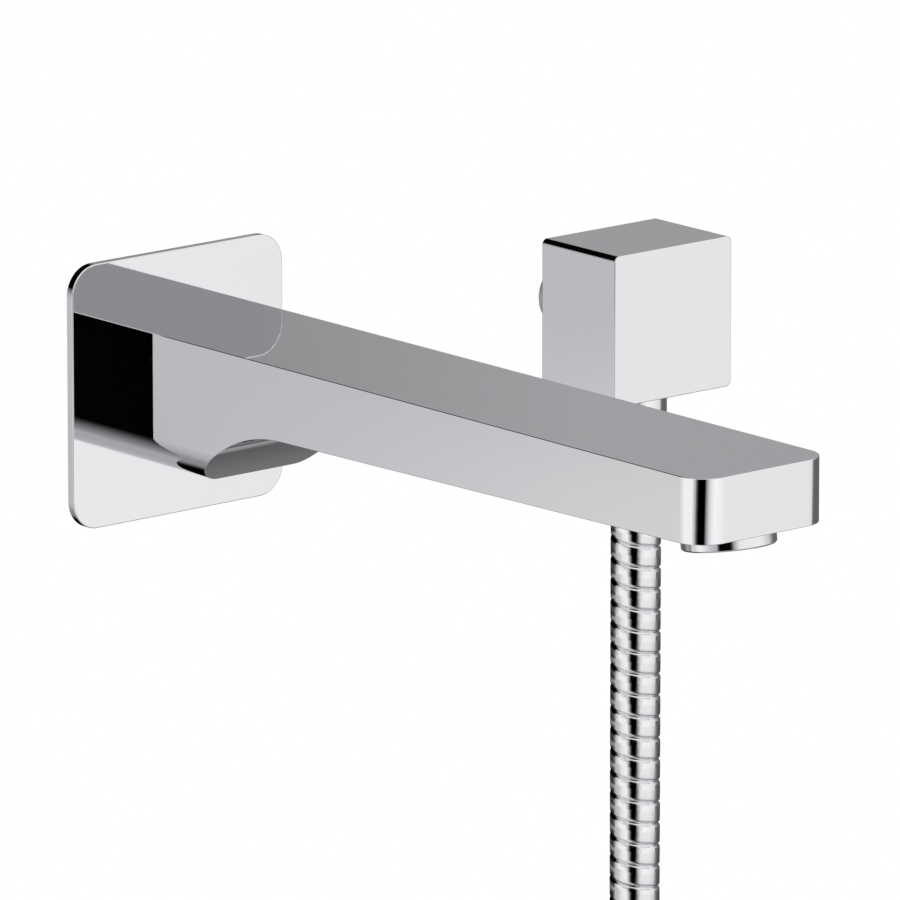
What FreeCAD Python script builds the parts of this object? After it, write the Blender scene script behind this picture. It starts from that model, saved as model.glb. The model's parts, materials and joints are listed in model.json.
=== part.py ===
"""Wall-mounted bath set: a square-plate bar spout, and a hand-shower outlet with its metal hose.

Millimetres. The origin is the centre of the wall plate's back, on the wall. +X runs to the right
along the wall, +Z up, and the spout reaches out along -Y, so the wall is the plane Y = 0.
"""
import FreeCAD, Part
import math
import os

V = FreeCAD.Vector
X, Y, Z = V(1, 0, 0), V(0, 1, 0), V(0, 0, 1)
OUT, DOWN = V(0, -1, 0), V(0, 0, -1)   # away from the wall, and the way the hose hangs

# ---- fits shared by all pieces ----
slide_gap = 0.05                       # radial gap of turned pieces that plug together
running_gap = 0.08                     # radial gap of a nut on the neck it turns on
turn_gap = 0.3                         # end gap between a piece that turns and its neighbours
seal_slack = 0.02                      # what a seal leaves free in its groove
edge_r = 0.4                           # broken rims of the small turned pieces
face_rim_r = 0.3                       # rims of the plate and of the box's front and back
chamfer = 0.8                          # lead-in of threads and nut rims

# ---- G1/2 connection, used at both wall inlets and both hose ends ----
thread_r = 10.4775                     # major radius of the G1/2 thread
thread_gap = 0.1                       # radial gap between a nut's bore and the thread in it
thread_relief = 0.5                    # how much wider a nut's bore is past its thread
wall_thread_run = 15.0                 # thread that screws into the fitting in the wall

# ---- wall plate ----
plate_side = 76.0
plate_thick = 2.5
plate_corner_r = 8.5
plate_hole_gap = 1.2                   # radial play round the connector
gasket_inset = 3.0
gasket_width = 4.0
gasket_thick = 1.0

# ---- spout ----
spout_width = 47.0
spout_reach = 252.0                    # wall to the end of the tip
spout_top = 20.4                       # top face above the plate's centre
wall_end_depth = 40.2                  # height of the deep end at the plate
wall_end_run = 34.5                    # level underside in front of the plate
wall_end_r = 10.0                      # lower corners of the deep end
scoop_r = 50.0                         # hollow curve from the deep end up to the bar
bar_root_depth = 21.1                  # bar height where the hollow curve meets it
bar_root_run = 77.0                    # wall to that place
tip_depth = 18.2                       # bar height at the tip
tip_corner_r = 8.5                     # upright corners of the tip
spout_edge_r = 0.2                     # crisp edges all round the bar
spout_wall = 3.5                       # metal round the waterway

# ---- connector between the wall fitting and the spout ----
nipple_engage = 24.0                   # length inside the spout
nipple_spigot_r = 10.2                 # plain end inside the spout
nipple_bore_r = 6.0
key_across = 13.5                      # hexagon for the fitting key, across flats
key_depth = 9.0
ring_groove_depth = 1.7
ring_groove_width = 2.4
ring_groove_pitch = 6.0
nipple_rings = 2
grub_r = 2.5
grub_length = 8.0
grub_key_across = 2.5
grub_from_plate = 8.0                  # screw axis in front of the plate

# ---- aerator ----
aerator_setback = 15.0                 # middle of the aerator's rim behind the end of the tip
aerator_tilt = 8.5                     # degrees that the outlet looks away from the wall
aerator_flange_r = 13.0
aerator_flange_thick = 7.4             # collar of the housing, seated in a slanting flat under the tip
aerator_thread_r = 12.0
aerator_thread_run = 5.5
aerator_bore_r = 10.4
aerator_mouth_r = 9.8
aerator_lip = 1.0
insert_height = 9.0
cell_across = 3.0
cell_rib = 0.6
cell_rings = 2
screen_thick = 0.4
aerator_washer_thick = 1.5
aerator_washer_r = 11.4
aerator_seat_r = 9.4
spot_face_depth = 0.1                  # least depth of the flat that the aerator's flange seats in
throat_width = 10.0                    # passage from the waterway over the aerator's seat
throat_lip = 1.0

# ---- hand-shower outlet ----
outlet_spacing = 145.0                 # outlet axis to the right of the spout
outlet_rise = 3.8                      # centre of the box above the spout's connector
outlet_width = 44.3
outlet_depth = 32.0
outlet_height = 44.2
outlet_standoff = 16.6                 # wall to the back of the box
outlet_edge_r = 1.6                    # the box's four long edges
shank_neck_r = 9.0
shank_neck_in = 1.0                    # how far the neck runs in behind the wall's face
shank_spigot_r = 8.2
shank_spigot_run = 12.0
shank_bore_r = 5.5
outlet_bore_r = 6.0
stub_r = 8.8                           # plain shoulder under the box
stub_shoulder_run = 10.0
stub_socket_run = 10.0                 # length held inside the box
stub_thread_run = 9.0

# ---- check valve inside the outlet's stub ----
valve_r = 7.5
valve_length = 13.0
valve_wall = 1.3
valve_seat_r = 4.0
valve_seat_thick = 1.5
poppet_r = 5.0
poppet_thick = 1.5
stem_r = 1.2
stem_below_hub = 0.5
hub_r = 2.6
hub_thick = 2.0
spoke_width = 1.2
spoke_count = 3
spring_r = 2.2
spring_wire_r = 0.3
spring_turns = 4
spring_steps = 8                       # straight steps in each turn of the wire

# ---- hose ends ----
washer_thick = 2.0
washer_bore_r = 5.5
insert_flange_thick = 1.5
insert_neck_r = 6.0
insert_bore_r = 3.7
nut_across = 24.0
nut_lip = 2.2
ferrule_r = 8.6
ferrule_run = 14.0
ferrule_cap = 2.0
cone_nut_run = 34.0
cone_small_r = 9.0
cone_big_r = 12.5
cone_rim = 12.0                        # straight rim at the wide end of the cone nut
hose_thread_run = 9.5                  # thread depth inside the cone nut

# ---- hose: it hangs straight, leans over and runs into a tied coil that hangs under the outlet ----
hose_r = 7.25
hang_run = 166.5                       # straight stretch below the outlet
lean_run = 80.0
lean_degrees = 45.0
coil_lead = 70.0                       # upright stretch into the coil
bend_share = 0.45                      # share of the shorter run that a bend takes up
coil_mid_r = 72.5                      # radius at the middle of the hose
coil_turns = 3
coil_pitch = 15.1
tail_run = 62.0                        # straight end below the coil's last turn
tie_width = 6.0
tie_thick = 1.0

# ---- places worked out from the sizes above ----
plate_front = -plate_thick
wall_end_bottom = spout_top - wall_end_depth
tip_underside = spout_top - tip_depth
bar_root_underside = spout_top - bar_root_depth
bar_slope = (bar_root_depth - tip_depth) / (spout_reach - bar_root_run)
aerator_up = V(0, math.sin(math.radians(aerator_tilt)), math.cos(math.radians(aerator_tilt)))
spot_face_r = aerator_flange_r + turn_gap
spot_face_y = aerator_setback - spout_reach + aerator_flange_thick * aerator_up.y
near_wall_run = spout_reach + spot_face_y + spot_face_r * aerator_up.z   # tip to the flat's far edge
spot_face_z = tip_underside - bar_slope * near_wall_run + spot_face_depth + spot_face_r * aerator_up.y
spot_face = V(0, spot_face_y, spot_face_z)                               # middle of the slanting flat
aerator_seat = spot_face + aerator_up * (aerator_thread_run + aerator_washer_thick)
outlet_y = -(outlet_standoff + outlet_depth / 2)
outlet_bottom = outlet_rise - outlet_height / 2
stub_end = outlet_bottom - stub_shoulder_run - stub_thread_run
seat_r = thread_r - chamfer            # washers and insert flanges at the hose ends
top_flange_z = stub_end - washer_thick - insert_flange_thick
top_nut_z = top_flange_z - turn_gap - nut_lip
top_ferrule_z = top_nut_z - turn_gap - ferrule_run
hose_top = top_ferrule_z + ferrule_run - ferrule_cap
lean = V(math.sin(math.radians(lean_degrees)), 0, -math.cos(math.radians(lean_degrees))) * lean_run
hose_route = [V(outlet_spacing, outlet_y, hose_top), V(outlet_spacing, outlet_y, hose_top - hang_run)]
hose_route.append(hose_route[-1] + lean)
hose_route.append(hose_route[-1] + DOWN * coil_lead)
coil_start = hose_route[-1]
coil_x = coil_start.x - coil_mid_r
coil_height = coil_start.z
coil_end = coil_start + OUT * coil_pitch * coil_turns
hose_end = coil_end + DOWN * tail_run


# ---- helpers ----
def box(low, high):
    """A block between two opposite corners."""
    size = high - low
    return Part.makeBox(size.x, size.y, size.z, low)


def cylinder(radius, start, axis, length):
    """A round bar from start along axis."""
    return Part.makeCylinder(radius, length, start, axis)


def prism(corners, direction):
    """A flat outline pushed along a vector."""
    return Part.Face(Part.makePolygon(corners + corners[:1])).extrude(direction)


def turned(outline, start, axis):
    """A turned piece: (radius, distance along the axis) corners revolved round the axis."""
    corners = [V(radius, 0, along) for radius, along in outline]
    solid = Part.Face(Part.makePolygon(corners + corners[:1])).revolve(V(), Z, 360)
    solid.Placement = FreeCAD.Placement(start, FreeCAD.Rotation(Z, axis))
    return solid


def hexagon(across, start, axis, length):
    """A hexagonal bar, measured across its flats."""
    corner_r = across / math.sqrt(3)
    corners = [V(corner_r * math.cos(math.radians(60 * i)), corner_r * math.sin(math.radians(60 * i)), 0)
               for i in range(6)]
    solid = prism(corners, V(0, 0, length))
    solid.Placement = FreeCAD.Placement(start, FreeCAD.Rotation(Z, axis))
    return solid


def rounded_slab(width, height, corner_r, back, front):
    """An upright slab centred on the spout's axis, with its corners rounded in the wall's plane."""
    slab = box(V(-width / 2, front, -height / 2), V(width / 2, back, height / 2))
    corners = [edge for edge in slab.Edges if abs(edge.tangentAt(edge.FirstParameter).y) > 0.99]
    return slab.makeFillet(corner_r, corners)


def seal_ring(groove_r, centre, axis, bore_r):
    """An eight-sided O-ring that fills the space between a groove's floor and the bore round it."""
    flat_r = (bore_r - groove_r) / 2 - seal_slack
    corner_r = flat_r / math.cos(math.pi / 8)
    middle_r = groove_r + seal_slack + flat_r
    angles = [math.pi / 8 + math.pi / 4 * i for i in range(8)]
    corners = [(middle_r + corner_r * math.cos(a), corner_r * math.sin(a)) for a in angles]
    return turned(corners, centre, axis)


def save(name, *solids):
    """Write one node's solids to its STEP file."""
    shape = solids[0] if len(solids) == 1 else Part.makeCompound(list(solids))
    shape.exportStep(f"parts/{name}.step")
    print(f"{name}: {len(shape.Solids)} solid, {shape.Volume / 1000:.2f} cm3, valid {shape.isValid()}")


# ---- spout ----
def scoop():
    """The hollow curve under the spout: its start at the deep end, its middle, and its end on the bar."""
    start = V(0, plate_front - wall_end_run, wall_end_bottom)
    root = V(0, -bar_root_run, bar_root_underside)
    along = (V(0, -spout_reach, tip_underside) - root).normalize()
    down = V(0, along.z, -along.y)
    if down.z > 0:
        down = down * -1
    foot = root + down * scoop_r                       # the centre lies on this line, parallel to the bar
    nearest = foot + along * (start - foot).dot(along)
    centre = nearest + along * math.sqrt(scoop_r ** 2 - (start - nearest).Length ** 2)
    end = centre - down * scoop_r
    middle = centre + ((start + end) * 0.5 - centre).normalize() * scoop_r
    return start, middle, end


def spout_outline():
    """Solid outside of the spout: side view, end view and plan, each pushed through the others."""
    half = spout_width / 2
    start, middle, end = scoop()
    corners = [V(0, plate_front, wall_end_bottom), V(0, plate_front, spout_top),
               V(0, -spout_reach, spout_top), V(0, -spout_reach, tip_underside), end]
    edges = [Part.LineSegment(a, b).toShape() for a, b in zip(corners, corners[1:])]
    edges += [Part.Arc(end, middle, start).toShape(), Part.LineSegment(start, corners[0]).toShape()]
    side = Part.Face(Part.Wire(edges)).extrude(X * spout_width)
    side.translate(V(-half, 0, 0))

    ends = box(V(-half, -spout_reach, wall_end_bottom), V(half, plate_front, spout_top))
    lower = [e for e in ends.Edges if e.CenterOfMass.z < wall_end_bottom + 1
             and abs(e.tangentAt(e.FirstParameter).y) > 0.99]
    ends = ends.makeFillet(wall_end_r, lower)

    plan = box(V(-half, -spout_reach, wall_end_bottom), V(half, plate_front, spout_top))
    tip = [e for e in plan.Edges if e.CenterOfMass.y < spout_edge_r - spout_reach
           and abs(e.tangentAt(e.FirstParameter).z) > 0.99]
    plan = plan.makeFillet(tip_corner_r, tip)
    return side.common(ends).common(plan)


def break_edges(solid):
    """Break every outer edge but those against the wall plate, which stay sharp."""
    outer = []
    for edge in solid.Edges:
        at_plate = edge.BoundBox.YMin > plate_front - 0.01
        faces = solid.ancestorsOfType(edge, Part.Face)
        middle = (edge.FirstParameter + edge.LastParameter) / 2
        normals = [face.normalAt(*face.Surface.parameter(edge.valueAt(middle))) for face in faces]
        smooth = len(normals) < 2 or normals[0].getAngle(normals[1]) < 0.1
        if not at_plate and not smooth:
            outer.append(edge)
    return solid.makeFillet(spout_edge_r, outer)


def spout_waterway():
    """Everything that is hollow inside the spout."""
    ceiling = spout_top - spout_wall
    floor = tip_underside + spout_wall
    bore_end = plate_front - nipple_engage
    well_r = aerator_thread_r + slide_gap
    channel_end = aerator_seat.y + well_r * aerator_up.z + spout_wall
    channel_half = spout_width / 2 - spout_wall
    neck_run = (ceiling - aerator_seat.z - aerator_seat_r * aerator_up.y) / aerator_up.z
    below = spot_face + aerator_up * wall_end_bottom
    bore = cylinder(nipple_spigot_r + slide_gap, V(0, plate_front, 0), OUT, nipple_engage + spout_wall)
    channel = box(V(-channel_half, channel_end, floor), V(channel_half, bore_end, ceiling))
    throat = box(aerator_seat + V(-throat_width / 2, 0, throat_lip),
                 V(throat_width / 2, channel_end, ceiling))
    well = cylinder(well_r, below, aerator_up, (aerator_seat - below).Length)
    neck = cylinder(aerator_seat_r, aerator_seat, aerator_up, neck_run)
    flat = cylinder(spot_face_r, below, aerator_up, (spot_face - below).Length)
    screw_y = plate_front - grub_from_plate
    screw_hole = cylinder(grub_r + slide_gap, V(0, screw_y, wall_end_bottom), Z, -wall_end_bottom)
    return bore.multiFuse([channel, throat, well, neck, flat, screw_hole])


def spout_body():
    """The cast spout with its waterway, aerator well and grub-screw hole."""
    return break_edges(spout_outline()).cut(spout_waterway())


def wall_plate():
    """Square cover plate with a pocket for its gasket and a hole for the connector."""
    plate = rounded_slab(plate_side, plate_side, plate_corner_r, 0, plate_front)
    rim = [e for e in plate.Edges if e.BoundBox.YMax < plate_front + 0.01]
    plate = plate.makeFillet(face_rim_r, rim)
    hole = cylinder(thread_r + plate_hole_gap, V(), OUT, plate_thick)
    return plate.cut(gasket_ring(0)).cut(hole)


def gasket_ring(slack):
    """The square ring that fills the pocket in the plate's back."""
    outer = plate_side - 2 * gasket_inset - 2 * slack
    inner = plate_side - 2 * (gasket_inset + gasket_width) + 2 * slack
    outer_r = plate_corner_r - gasket_inset
    ring = rounded_slab(outer, outer, outer_r, 0, -gasket_thick)
    return ring.cut(box(V(-inner / 2, -gasket_thick, -inner / 2), V(inner / 2, 0, inner / 2)))


def groove_places():
    """Distance from the wall of each O-ring groove on the connector."""
    first = plate_thick + nipple_engage - ring_groove_width
    return [first - ring_groove_pitch * i for i in range(nipple_rings)]


def spout_nipple():
    """Threaded connector from the wall fitting into the spout, keyed at its free end."""
    thread_end = wall_thread_run + plate_thick
    total = thread_end + nipple_engage
    body = turned([(nipple_bore_r, 0), (thread_r - chamfer, 0), (thread_r, chamfer), (thread_r, thread_end),
                   (nipple_spigot_r, thread_end), (nipple_spigot_r, total - chamfer),
                   (nipple_spigot_r - chamfer, total), (nipple_bore_r, total)],
                  V(0, wall_thread_run, 0), OUT)
    groove_r = nipple_spigot_r - ring_groove_depth
    for place in groove_places():
        start = V(0, ring_groove_width / 2 - place, 0)
        groove = cylinder(nipple_spigot_r, start, OUT, ring_groove_width)
        body = body.cut(groove.cut(cylinder(groove_r, start, OUT, ring_groove_width)))
    key = hexagon(key_across, V(0, plate_front - nipple_engage, 0), Y, key_depth)
    return body.cut(key)


def nipple_o_rings():
    """The O-rings in the connector's grooves."""
    groove_r, bore_r = nipple_spigot_r - ring_groove_depth, nipple_spigot_r + slide_gap
    return [seal_ring(groove_r, V(0, -place, 0), OUT, bore_r) for place in groove_places()]


def spout_grub_screw():
    """Hexagon-socket screw that clamps the spout on its connector from below."""
    screw_y = plate_front - grub_from_plate
    top = -nipple_spigot_r - seal_slack
    low = top - grub_length
    point = grub_r - chamfer
    body = turned([(0, low), (grub_r, low), (grub_r, top - chamfer), (point, top), (0, top)],
                  V(0, screw_y, 0), Z)
    return body.cut(hexagon(grub_key_across, V(0, screw_y, low), Z, grub_length / 2))


# ---- aerator: its pieces are made upright with the slanting flat at Z = 0, then set in place ----
def in_tip(piece):
    """Set an upright aerator piece on the slanting flat under the tip."""
    piece.Placement = FreeCAD.Placement(spot_face, FreeCAD.Rotation(Z, aerator_up))
    return piece


def cell_disc(low, height):
    """A disc with hexagonal cells in rings round a middle one."""
    pitch = cell_across + cell_rib
    cells = []
    for column in range(-cell_rings, cell_rings + 1):
        for row in range(-cell_rings, cell_rings + 1):
            if abs(column + row) <= cell_rings:
                place = V(pitch * math.sqrt(3) / 2 * column, pitch * (row + column / 2), low)
                cells.append(hexagon(cell_across, place, Z, height))
    return cylinder(aerator_bore_r - slide_gap, Z * low, Z, height).cut(cells[0].multiFuse(cells[1:]))


def aerator_housing():
    """Threaded ring under the tip that holds the flow straightener."""
    low = -aerator_flange_thick
    return in_tip(turned([(aerator_mouth_r, low), (aerator_flange_r - edge_r, low),
                          (aerator_flange_r, low + edge_r), (aerator_flange_r, 0), (aerator_thread_r, 0),
                          (aerator_thread_r, aerator_thread_run), (aerator_bore_r, aerator_thread_run),
                          (aerator_bore_r, low + aerator_lip),
                          (aerator_mouth_r, low + aerator_lip)], V(), Z))


def aerator_insert():
    """Moulded flow straightener: a disc of hexagonal cells."""
    return in_tip(cell_disc(aerator_lip - aerator_flange_thick, insert_height))


def aerator_screen():
    """Perforated disc on top of the flow straightener."""
    return in_tip(cell_disc(aerator_lip - aerator_flange_thick + insert_height, screen_thick))


def aerator_washer():
    """Flat seal between the housing and the seat in the spout."""
    low, top = aerator_thread_run, aerator_thread_run + aerator_washer_thick
    return in_tip(turned([(aerator_seat_r, low), (aerator_washer_r, low),
                          (aerator_washer_r, top), (aerator_seat_r, top)], V(), Z))


# ---- hand-shower outlet ----
def runs_out(edge):
    """True where an edge stands straight out from the wall."""
    box_round = edge.BoundBox
    return box_round.YLength > max(box_round.XLength, box_round.ZLength)


def outlet_body():
    """The box with its inlet bore from the wall side and its drop to the stub."""
    half_x, half_y, half_z = outlet_width / 2, outlet_depth / 2, outlet_height / 2
    centre = V(outlet_spacing, outlet_y, outlet_rise)
    block = box(centre - V(half_x, half_y, half_z), centre + V(half_x, half_y, half_z))
    block = block.makeFillet(outlet_edge_r, [e for e in block.Edges if runs_out(e)])
    block = block.makeFillet(face_rim_r, [e for e in block.Edges if not runs_out(e)])
    back = V(outlet_spacing, -outlet_standoff, outlet_rise)
    spigot_hole = cylinder(shank_spigot_r + slide_gap, back, OUT, shank_spigot_run)
    passage = cylinder(outlet_bore_r, back, OUT, outlet_depth / 2 + outlet_bore_r)
    bottom = V(outlet_spacing, outlet_y, outlet_bottom)
    socket = cylinder(stub_r + slide_gap, bottom, Z, stub_socket_run)
    drop = cylinder(outlet_bore_r, bottom, Z, outlet_height / 2)
    return block.cut(spigot_hole.multiFuse([passage, socket, drop]))


def shank_groove_place():
    """Distance from the wall of the shank's O-ring groove."""
    return outlet_standoff + shank_spigot_run / 2


def outlet_shank():
    """Round neck from the wall fitting to the box, with the inlet thread behind the wall's face."""
    thread_end, neck_end = wall_thread_run - shank_neck_in, wall_thread_run + outlet_standoff
    spigot_end = neck_end + shank_spigot_run
    body = turned([(shank_bore_r, 0), (thread_r - chamfer, 0), (thread_r, chamfer), (thread_r, thread_end),
                   (shank_neck_r, thread_end), (shank_neck_r, neck_end), (shank_spigot_r, neck_end),
                   (shank_spigot_r, spigot_end), (shank_bore_r, spigot_end)],
                  V(outlet_spacing, wall_thread_run, outlet_rise), OUT)
    start = V(outlet_spacing, ring_groove_width / 2 - shank_groove_place(), outlet_rise)
    groove = cylinder(shank_spigot_r, start, OUT, ring_groove_width)
    floor = cylinder(shank_spigot_r - ring_groove_depth, start, OUT, ring_groove_width)
    return body.cut(groove.cut(floor))


def shank_o_ring():
    """The O-ring between the shank and the box."""
    centre = V(outlet_spacing, -shank_groove_place(), outlet_rise)
    return seal_ring(shank_spigot_r - ring_groove_depth, centre, OUT, shank_spigot_r + slide_gap)


def outlet_nipple():
    """Stub under the box: a plain shoulder, then the hose thread, bored for the check valve."""
    top = outlet_bottom + stub_socket_run
    thread_top = stub_end + stub_thread_run
    valve_top = stub_end + valve_length
    bore = valve_r + slide_gap
    return turned([(bore, stub_end), (thread_r - chamfer, stub_end), (thread_r, stub_end + chamfer),
                   (thread_r, thread_top), (stub_r, thread_top), (stub_r, top),
                   (outlet_bore_r, top), (outlet_bore_r, valve_top), (bore, valve_top)],
                  V(outlet_spacing, outlet_y, 0), Z)


# ---- check valve ----
def check_valve_body():
    """Valve cartridge: a tube with its seat at the top and a spoked guide at the bottom."""
    axis = V(outlet_spacing, outlet_y, 0)
    top = stub_end + valve_length
    inner = valve_r - valve_wall
    shell = turned([(inner, stub_end), (valve_r, stub_end), (valve_r, top), (valve_seat_r, top),
                    (valve_seat_r, top - valve_seat_thick), (inner, top - valve_seat_thick)], axis, Z)
    guide = cylinder(hub_r, axis + Z * stub_end, Z, hub_thick)
    spokes = []
    for i in range(spoke_count):
        spoke = box(V(0, -spoke_width / 2, stub_end),
                    V(inner + valve_wall / 2, spoke_width / 2, stub_end + hub_thick))
        spoke.rotate(V(), Z, 360 / spoke_count * i)
        spoke.translate(axis)
        spokes.append(spoke)
    hole = cylinder(stem_r + slide_gap, axis + Z * stub_end, Z, hub_thick)
    return shell.multiFuse([guide] + spokes).cut(hole)


def check_valve_poppet():
    """Disc and stem that the water pushes off the seat."""
    top = stub_end + valve_length - valve_seat_thick - seal_slack
    under = top - poppet_thick
    return turned([(0, stub_end - stem_below_hub), (stem_r, stub_end - stem_below_hub), (stem_r, under),
                   (poppet_r, under), (poppet_r, top), (0, top)], V(outlet_spacing, outlet_y, 0), Z)


def check_valve_spring():
    """Light coil spring between the guide and the disc, bent in short straight steps."""
    low = stub_end + hub_thick + seal_slack + spring_wire_r
    under = stub_end + valve_length - valve_seat_thick - seal_slack - poppet_thick
    height = under - seal_slack - spring_wire_r - low
    steps = spring_turns * spring_steps
    points = []
    for i in range(steps + 1):
        angle = 2 * math.pi * i / spring_steps
        points.append(V(spring_r * math.cos(angle), spring_r * math.sin(angle), height * i / steps))
    corners = [points[0] + X * (spring_wire_r * i) + Z * (spring_wire_r * j)
               for i, j in ((1, 0), (0, 1), (-1, 0), (0, -1))]
    section = Part.makePolygon(corners + corners[:1])
    coil = Part.makePolygon(points).makePipeShell([section], True, False, 1)
    coil.translate(V(outlet_spacing, outlet_y, low))
    return coil


# ---- hose ends ----
def hose_washer(face, axis):
    """Flat washer on a sealing face."""
    return turned([(washer_bore_r, 0), (seat_r, 0), (seat_r, washer_thick), (washer_bore_r, washer_thick)],
                  face, axis)


def hose_insert(face, axis):
    """Brass insert: its flange takes the washer, its neck goes through the nut into the ferrule."""
    neck_end = insert_flange_thick + 2 * turn_gap + nut_lip + ferrule_cap
    return turned([(insert_bore_r, 0), (seat_r, 0), (seat_r, insert_flange_thick),
                   (insert_neck_r, insert_flange_thick), (insert_neck_r, neck_end),
                   (insert_bore_r, neck_end)], face, axis)


def hose_ferrule(face, axis):
    """Crimped sleeve over the hose's end, closed round the insert's neck."""
    sleeve_r = hose_r + slide_gap
    return turned([(insert_neck_r + slide_gap, 0), (ferrule_r - edge_r, 0), (ferrule_r, edge_r),
                   (ferrule_r, ferrule_run - edge_r), (ferrule_r - edge_r, ferrule_run),
                   (sleeve_r, ferrule_run), (sleeve_r, ferrule_cap),
                   (insert_neck_r + slide_gap, ferrule_cap)], face, axis)


def hose_top_nut():
    """Hexagonal swivel nut over the stub's thread."""
    axis = V(outlet_spacing, outlet_y, 0)
    top = outlet_bottom - stub_shoulder_run - turn_gap
    rim_r = nut_across / math.sqrt(3)
    blank = hexagon(nut_across, axis + Z * top_nut_z, Z, top - top_nut_z)
    cone = turned([(0, top_nut_z), (rim_r - chamfer - chamfer, top_nut_z), (rim_r, top_nut_z + chamfer),
                   (rim_r, top - chamfer), (rim_r - chamfer - chamfer, top), (0, top)], axis, Z)
    room_z = top_nut_z + nut_lip
    bore = cylinder(thread_r + thread_gap, axis + Z * room_z, Z, top - room_z)
    room = cylinder(thread_r + thread_relief, axis + Z * room_z, Z, stub_end - room_z)
    hole = cylinder(insert_neck_r + running_gap, axis + Z * top_nut_z, Z, nut_lip)
    return blank.common(cone).cut(bore.multiFuse([room, hole]))


def hose_cone_nut():
    """Conical nut for the hand shower, free to turn on the insert."""
    thread_low = cone_nut_run - hose_thread_run
    room_low = thread_low - washer_thick - insert_flange_thick - turn_gap
    hole_r, room_r, bore_r = insert_neck_r + running_gap, thread_r + thread_relief, thread_r + thread_gap
    return turned([(hole_r, 0), (cone_small_r, 0), (cone_big_r, cone_nut_run - cone_rim),
                   (cone_big_r, cone_nut_run - chamfer), (cone_big_r - chamfer, cone_nut_run),
                   (bore_r, cone_nut_run), (bore_r, thread_low), (room_r, thread_low), (room_r, room_low),
                   (hole_r, room_low)], hose_end + DOWN * (ferrule_cap + turn_gap), DOWN)


def hose_end_insert():
    """Longer insert at the free end, its neck running down through the cone nut, and its washer's place."""
    face = ferrule_cap + turn_gap + cone_nut_run - hose_thread_run - washer_thick
    flange = face - insert_flange_thick
    body = turned([(insert_bore_r, 0), (insert_neck_r, 0), (insert_neck_r, flange), (seat_r, flange),
                   (seat_r, face), (insert_bore_r, face)], hose_end, DOWN)
    return body, hose_end + DOWN * face


# ---- hose ----
def rounded_route(points):
    """A wire through the hose's route: straight runs joined by bends as wide as the runs allow."""
    edges, start = [], points[0]
    for before, corner, after in zip(points, points[1:], points[2:]):
        back, ahead = before - corner, after - corner
        tangent = bend_share * min(back.Length, ahead.Length)
        back.normalize()
        ahead.normalize()
        half_turn = (math.pi - back.getAngle(ahead)) / 2
        radius = tangent / math.tan(half_turn)
        print(f"hose bend: radius {radius:.0f} mm, {radius / hose_r / 2:.1f} diameters")
        first, last = corner + back * tangent, corner + ahead * tangent
        middle = corner + (back + ahead).normalize() * (radius / math.cos(half_turn) - radius)
        edges += [Part.LineSegment(start, first).toShape(), Part.Arc(first, middle, last).toShape()]
        start = last
    return Part.Wire(edges + [Part.LineSegment(start, points[-1]).toShape()])


def along_route(route, radius):
    """A round bar along the hose's route."""
    return route.makePipeShell([Part.Wire(Part.Circle(hose_route[0], Z, radius).toShape())], True, False)


def hose_coil(route):
    """The tied coil's outer shape, with room for the hose where it goes in and comes out."""
    back = V(coil_x, outlet_y + hose_r, coil_height)
    depth = coil_pitch * coil_turns + 2 * hose_r
    ring = cylinder(coil_mid_r + hose_r, back, OUT, depth)
    ring = ring.cut(cylinder(coil_mid_r - hose_r, back, OUT, depth))
    leave = cylinder(hose_r + slide_gap, coil_end, DOWN, coil_mid_r)
    return ring.cut(along_route(route, hose_r + slide_gap)).cut(leave)


def coil_ties():
    """Two flat ties round the coil, at its top and bottom."""
    gap = turn_gap
    back, front = outlet_y + hose_r + gap, coil_end.y - hose_r - gap
    ties = []
    for side in (-1, 1):
        middle = coil_height + side * coil_mid_r
        low, high = middle - hose_r - gap, middle + hose_r + gap
        outer = box(V(coil_x - tie_width / 2, front - tie_thick, low - tie_thick),
                    V(coil_x + tie_width / 2, back + tie_thick, high + tie_thick))
        inner = box(V(coil_x - tie_width / 2, front, low), V(coil_x + tie_width / 2, back, high))
        ties.append(outer.cut(inner))
    return ties


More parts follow.
